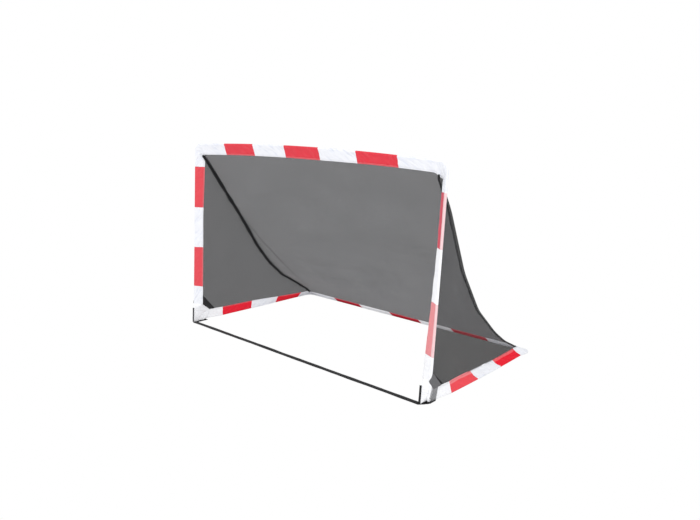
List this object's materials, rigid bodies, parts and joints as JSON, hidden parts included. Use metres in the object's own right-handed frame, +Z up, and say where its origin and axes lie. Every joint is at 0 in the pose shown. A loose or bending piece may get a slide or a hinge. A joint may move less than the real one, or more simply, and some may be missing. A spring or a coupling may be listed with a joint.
{
  "type": "pop-up handball goal",
  "caption": "Pop-up handball goal: sprung arch and floor hoop in red and white striped sleeves, with a fine net and a strap across the goal line.",
  "frame": {"origin": "on the floor, at the middle of the front strap's underside, which marks the goal line", "axes": "+X along the goal line, to the right seen from the front; +Y back into the goal; +Z up"},
  "size_m": [1.6084, 0.96, 1.0097],
  "materials": {
    "red_fabric": "woven polyester",
    "white_fabric": "woven polyester",
    "net_mesh": "fine knitted mesh",
    "black_webbing": "woven webbing",
    "glass_rod": "smooth glass-fibre rod",
    "cap_plastic": "moulded"
  },
  "bodies": {
    "base": {"back_net": "net_mesh", "front_strap": "black_webbing", "ground_rod": "glass_rod", "left_boot": "white_fabric", "left_boot_binding": "black_webbing", "left_corner_patch": "black_webbing", "left_corner_strap": "black_webbing", "left_ground_band_1": "red_fabric", "left_ground_band_2": "white_fabric", "left_ground_band_3": "red_fabric", "left_ground_band_4": "white_fabric", "left_ground_cap": "cap_plastic", "left_outer_patch": "black_webbing", "left_rear_corner": "white_fabric", "left_seam_tape": "black_webbing", "left_side_net": "net_mesh", "rear_band_1": "red_fabric", "rear_band_2": "white_fabric", "rear_band_3": "red_fabric", "rear_band_4": "white_fabric", "rear_band_5": "red_fabric", "right_boot": "white_fabric", "right_boot_binding": "black_webbing", "right_corner_patch": "black_webbing", "right_corner_strap": "black_webbing", "right_ground_band_1": "red_fabric", "right_ground_band_2": "white_fabric", "right_ground_band_3": "red_fabric", "right_ground_band_4": "white_fabric", "right_ground_cap": "cap_plastic", "right_outer_patch": "black_webbing", "right_rear_corner": "white_fabric", "right_seam_tape": "black_webbing", "right_side_net": "net_mesh"},
    "front_frame": {"crossbar_band_1": "red_fabric", "crossbar_band_2": "white_fabric", "crossbar_band_3": "red_fabric", "crossbar_band_4": "white_fabric", "crossbar_band_5": "red_fabric", "front_rod": "glass_rod", "left_post_band_1": "red_fabric", "left_post_band_2": "white_fabric", "left_post_band_3": "red_fabric", "left_post_band_4": "white_fabric", "left_post_cap": "cap_plastic", "left_top_corner": "white_fabric", "right_post_band_1": "red_fabric", "right_post_band_2": "white_fabric", "right_post_band_3": "red_fabric", "right_post_band_4": "white_fabric", "right_post_cap": "cap_plastic", "right_top_corner": "white_fabric"}
  },
  "joints": [
    {"name": "front_fold", "type": "hinge", "parent": "base", "child": "front_frame", "pos_m": [0, 0.02202, 0.068], "axis": [1, 0, 0], "range_deg": [-86, 0], "stiffness_Nm_per_rad": 1.2, "springref_deg": 20.05, "deforming": ["back_net", "left_boot", "left_boot_binding", "left_corner_patch", "left_outer_patch", "left_seam_tape", "left_side_net", "right_boot", "right_boot_binding", "right_corner_patch", "right_outer_patch", "right_seam_tape", "right_side_net"]}
  ]
}
